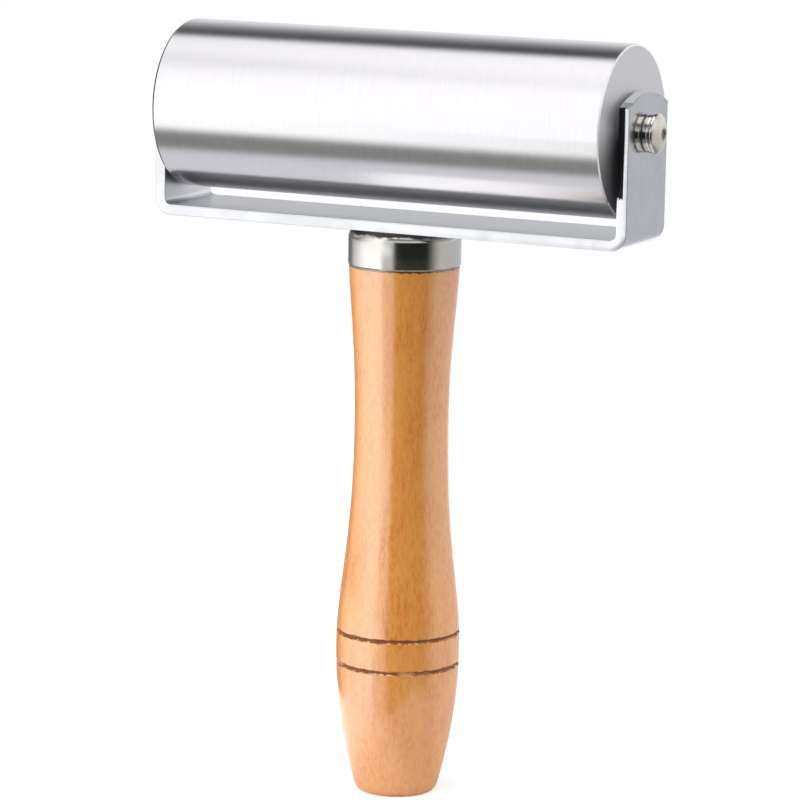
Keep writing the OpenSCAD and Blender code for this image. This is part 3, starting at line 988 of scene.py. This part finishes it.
def set_studio():
    """Paints the soft boxes and walls that stood round the brayer."""
    world = bpy.data.worlds.new("studio")
    bpy.context.scene.world = world
    world.use_nodes = True
    nodes = Nodes(world.node_tree)
    toward = nodes.add("ShaderNodeTexCoord", out="Generated")
    x, y, z = nodes.split(toward)
    round_by = x.math("ARCTAN2", -y) / DEGREE
    height = z.math("ARCSINE") / DEGREE
    lean = z.math("ARCTAN2", -y) / DEGREE
    lower = 1 - height.rise(*BELOW_FERRULE)
    upper = height.rise(*ABOVE_FERRULE)
    box_end = BOX_END_LOW * lower + BOX_END_HIGH * upper
    box_blur = BOX_BLUR + BOX_MORE_BLUR * lower + BOX_MORE_BLUR * upper
    left_box = round_by.rise(*BOX_START) * ((box_end - round_by) / box_blur).rise(-1, 1)
    at_wall = round_by.rise(*WALL_START)
    dark_side = (round_by.rise(*DARK_START) - at_wall) * (1 - height.rise(*DARK_TOP))
    right_wall = at_wall - round_by.rise(*WALL_END)
    left_corner = round_by.band(*CORNER) * (1 - height.rise(*CORNER_TOP))
    overhead = height.rise(*TOP_START) * (1 - lean.rise(*TOP_END))
    box_light = nodes.mix(height.rise(*BOX_HEIGHTS), *BOX_LIGHT)
    box_side = nodes.mix(upper, *BOX_SIDE)
    box_light = nodes.mix((round_by - BOX_FADE_SHIFT * upper).rise(*BOX_FADE), box_side, box_light)
    top_light = nodes.mix(height.rise(*TOP_HEIGHTS), *TOP_LIGHT)
    wall_light = nodes.mix(height.rise(*WALL_HEIGHTS), *WALL_LIGHT)
    floor_light = nodes.mix(height.rise(*FLOOR_HEIGHTS), *FLOOR_LIGHT)
    light = nodes.mix(height.rise(*BACK_HEIGHTS), *BACK_LIGHT)
    light = nodes.mix(1 - height.rise(*LEVEL), light, LOW_LIGHT)
    light = nodes.mix(left_corner, light, CORNER_LIGHT)
    light = nodes.mix(right_wall, light, wall_light)
    light = nodes.mix(dark_side, light, DARK_LIGHT)
    light = nodes.mix(left_box, light, box_light)
    light = nodes.mix(overhead, light, top_light)
    light = nodes.mix(height.rise(*FLOOR_END), floor_light, light)
    seen = nodes.add("ShaderNodeLightPath", out="Is Camera Ray")
    light = nodes.mix(seen, light, WHITE)
    sky = nodes.add("ShaderNodeBackground", {}, {"Color": light, "Strength": 1.0})
    nodes.add("ShaderNodeOutputWorld", {}, {"Surface": sky})


def add_soft_lamp(name, place, watts):
    """A broad soft lamp turned to the brayer, which mirrors don't show."""
    light = bpy.data.lights.new(name, "AREA")
    light.shape = "DISK"
    light.size = LAMP_SIZE
    light.energy = watts
    lamp = bpy.data.objects.new(name, light)
    bpy.context.scene.collection.objects.link(lamp)
    facing = (LAMP_AIM - place).to_track_quat("-Z", "Y").to_matrix()
    lamp.matrix_world = Matrix.Translation(place) @ facing.to_4x4()
    lamp.visible_glossy = False
    lamp.visible_camera = False


def set_floor():
    """A sheet of white paper. Mirrors show only its part under and behind the brayer."""
    floor = add_start("plane", "paper_floor", location=FLOOR_MIDDLE, size=FLOOR_SIZE)
    bpy.ops.object.mode_set(mode="OBJECT")
    material, nodes = new_finish("paper")
    place = nodes.place()
    x, y, _ = nodes.split(place)
    seen = nodes.add("ShaderNodeLightPath", out="Is Camera Ray")
    mirrored = nodes.add("ShaderNodeLightPath", out="Is Glossy Ray")
    through = nodes.add("ShaderNodeLightPath", out="Is Transmission Ray")
    shaded = x.rise(*SHADED_X) * (1 - y.rise(*SHADED_END_Y))
    paper = nodes.mix(nodes.noise(place, scale=PAPER_FIBRES, detail=2), *PAPER)
    paper = nodes.mix(mirrored * shaded, paper, PAPER_SHADED)
    matt = nodes.add("ShaderNodeBsdfDiffuse", {}, {"Color": paper})
    shown = seen * SEEN_GLOW + (mirrored + through) * MIRROR_GLOW * (1 - x.rise(*GLOW_END_X))
    glow = nodes.add("ShaderNodeEmission", {}, {"Color": PAPER_GLOW, "Strength": shown})
    sheet = nodes.add("ShaderNodeAddShader", {}, {0: matt, 1: glow})
    clear = nodes.add("ShaderNodeBsdfTransparent")
    near = y.rise(*MIRROR_START_Y) * x.band(*MIRROR_X)
    surface = nodes.add("ShaderNodeMixShader", {}, {0: mirrored * (1 - near), 1: sheet, 2: clear})
    nodes.add("ShaderNodeOutputMaterial", {}, {"Surface": surface})
    floor.data.materials.append(material)


def set_camera():
    """Stands the camera where the photograph was taken."""
    lens = bpy.data.cameras.new("photo_lens")
    lens.lens = CAMERA_LENS
    lens.sensor_width = CAMERA_SENSOR
    lens.clip_start = CAMERA_NEAR
    lens.clip_end = CAMERA_FAR
    camera = bpy.data.objects.new("photo_camera", lens)
    bpy.context.scene.collection.objects.link(camera)
    back = (CAMERA_EYE - CAMERA_AIM).normalized()
    right = Vector((0, 0, 1)).cross(back).normalized()
    up = back.cross(right)
    leaned_right = right * math.cos(CAMERA_LEAN) + up * math.sin(CAMERA_LEAN)
    leaned_up = up * math.cos(CAMERA_LEAN) - right * math.sin(CAMERA_LEAN)
    facing = Matrix((leaned_right, leaned_up, back)).transposed()
    camera.matrix_world = Matrix.Translation(CAMERA_EYE) @ facing.to_4x4()
    bpy.context.scene.camera = camera


ground_steel = ground_steel_finish()
# The yoke's plate has painted light on the arms' insides and a painted dark reflection on the right arm's
# edge
yoke_plate = plated_finish(
    "yoke_plate", YOKE_PLATE, gloss=0.12, haze=0.08, peel=0.4,
    dull=strap_inside, stain_and_shade=edge_dark_reflection, painted_light=arm_inside,
)
# The ferrule's plate has painted shade under the strap and along its lip
ferrule_plate = plated_finish(
    "ferrule_plate", FERRULE_PLATE, gloss=0.12, haze=0.06, peel=8.0,
    dull=ferrule_wear, stain_and_shade=ferrule_shade,
)
fastener_plate = plated_finish(
    "fastener_plate", FASTENER_PLATE, gloss=0.09, haze=0.06, peel=0.6,
    dull=head_face, stain_and_shade=recess_tarnish,
)
axle_metal = machined_finish("axle_metal", AXLE_STEEL, roughness=0.3)
bearing_metal = machined_finish("bearing_metal", BEARING_STEEL, roughness=0.22)
cage_metal = machined_finish("cage_metal", CAGE_BRASS, roughness=0.28)
varnished_wood = varnished_wood_finish()

make_roller(ground_steel)
make_yoke(yoke_plate)
make_ferrule(ferrule_plate)
make_handle(varnished_wood)
make_washers(fastener_plate)
make_screws(fastener_plate)
for end in ("left", "right"):
    dress_nodes(axle_metal, f"axle_spacer_{end}")
    dress_nodes(
        bearing_metal, f"bearing_outer_race_{end}", f"bearing_inner_race_{end}",
        f"bearing_balls_{end}", f"bearing_outer_shield_{end}", f"bearing_inner_shield_{end}",
    )
    dress_nodes(cage_metal, f"bearing_cage_{end}")
dress_nodes(axle_metal, "axle_rod", "handle_tang")

set_studio()
for lamp_name, lamp_place, lamp_watts in LAMPS:
    add_soft_lamp(lamp_name, lamp_place, lamp_watts)
set_floor()
set_camera()
bpy.context.scene.view_settings.view_transform = "Standard"
